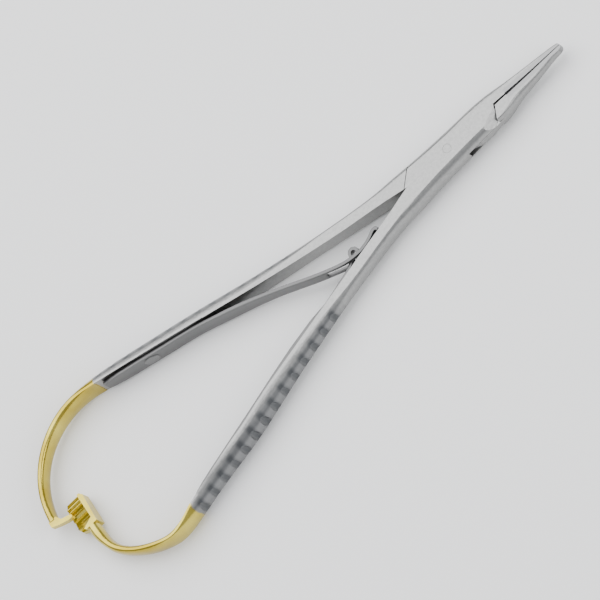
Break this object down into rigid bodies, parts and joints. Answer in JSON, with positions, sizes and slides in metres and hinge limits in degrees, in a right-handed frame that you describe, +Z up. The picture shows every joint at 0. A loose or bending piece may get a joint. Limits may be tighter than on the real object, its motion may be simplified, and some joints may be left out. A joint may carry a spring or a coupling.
{
  "type": "needle holder",
  "caption": "Surgical needle holder with bowed handles, leaf springs, a box lock, hard-faced tapering jaws and a ratchet that catches between the palm-held ends.",
  "frame": {"origin": "on the pivot axis, at the flat underside of the box lock", "axes": "+X towards the jaw tips, +Y towards the handle of the arm that passes through the box, +Z up out of the upper flat of the box"},
  "size_m": [0.1703, 0.0474, 0.0078],
  "materials": {
    "satin_steel": "satin",
    "spring_steel": "polished",
    "carbide": "matte, cross-hatched",
    "rivet_steel": "polished"
  },
  "bodies": {
    "box_side": {"box_arm": "satin_steel", "pivot_pin": "rivet_steel", "tongue_spring": "spring_steel", "tongue_spring_rivet": "rivet_steel", "box_jaw_insert": "carbide"},
    "through_side": {"through_arm": "satin_steel", "slotted_spring": "spring_steel", "slotted_spring_rivet": "rivet_steel", "through_jaw_insert": "carbide"}
  },
  "joints": [
    {"name": "box_lock", "type": "hinge", "parent": "box_side", "child": "through_side", "pos_m": [0, 0, 0.003], "axis": [0, 0, -1], "range_deg": [0, 15], "deforming": ["slotted_spring", "tongue_spring"]}
  ]
}
